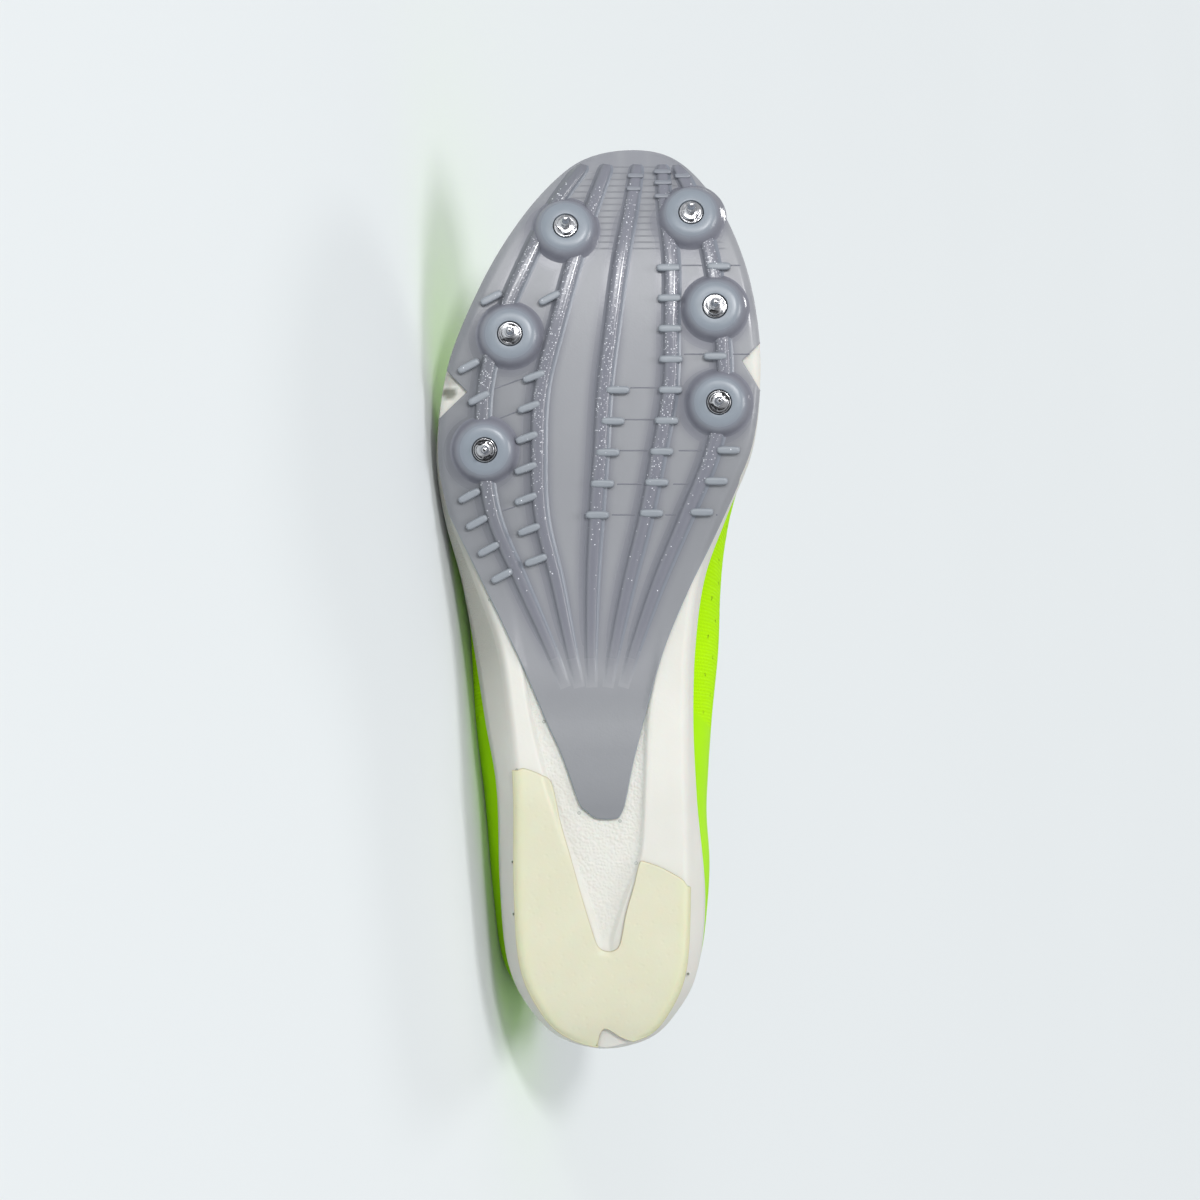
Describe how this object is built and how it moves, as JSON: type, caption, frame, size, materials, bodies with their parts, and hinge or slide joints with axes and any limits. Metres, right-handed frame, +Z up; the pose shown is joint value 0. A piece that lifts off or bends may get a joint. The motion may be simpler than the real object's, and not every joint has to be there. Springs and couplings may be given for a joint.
{
  "type": "track spike shoe",
  "caption": "Low running spike for the right foot, lying on its lateral side: hollow knit upper, laces, foam midsole, ribbed forefoot plate with screw-in pins, heel rubber.",
  "frame": {"origin": "centre of the box's base, on the floor under the lying shoe", "axes": "-X from the heel to the toe, +Z up through the shoe's medial side, -Y out of the sole, which leans about 13 degrees up; the shoe lies on its lateral side"},
  "size_m": [0.2794, 0.1102, 0.1034],
  "materials": {
    "white_foam": null,
    "lime_knit": "fine lime knit with a matte face",
    "insole_cloth": "pale cloth on thin foam",
    "white_lace": "flat woven white lace",
    "grey_plate": "satin grey moulded plastic with glossy ribs",
    "cream_rubber": "cream rubber, slightly see-through",
    "bright_steel": "bright turned steel"
  },
  "bodies": {
    "root": {"midsole": "white_foam", "upper": "lime_knit", "insole": "insole_cloth", "tongue": "lime_knit", "laces": "white_lace", "spike_plate": "grey_plate", "heel_rubber": "cream_rubber", "receptacle_1": "bright_steel", "spike_1": "bright_steel", "receptacle_2": "bright_steel", "spike_2": "bright_steel", "receptacle_3": "bright_steel", "spike_3": "bright_steel", "receptacle_4": "bright_steel", "spike_4": "bright_steel", "receptacle_5": "bright_steel", "spike_5": "bright_steel", "receptacle_6": "bright_steel", "spike_6": "bright_steel"}
  },
  "joints": []
}
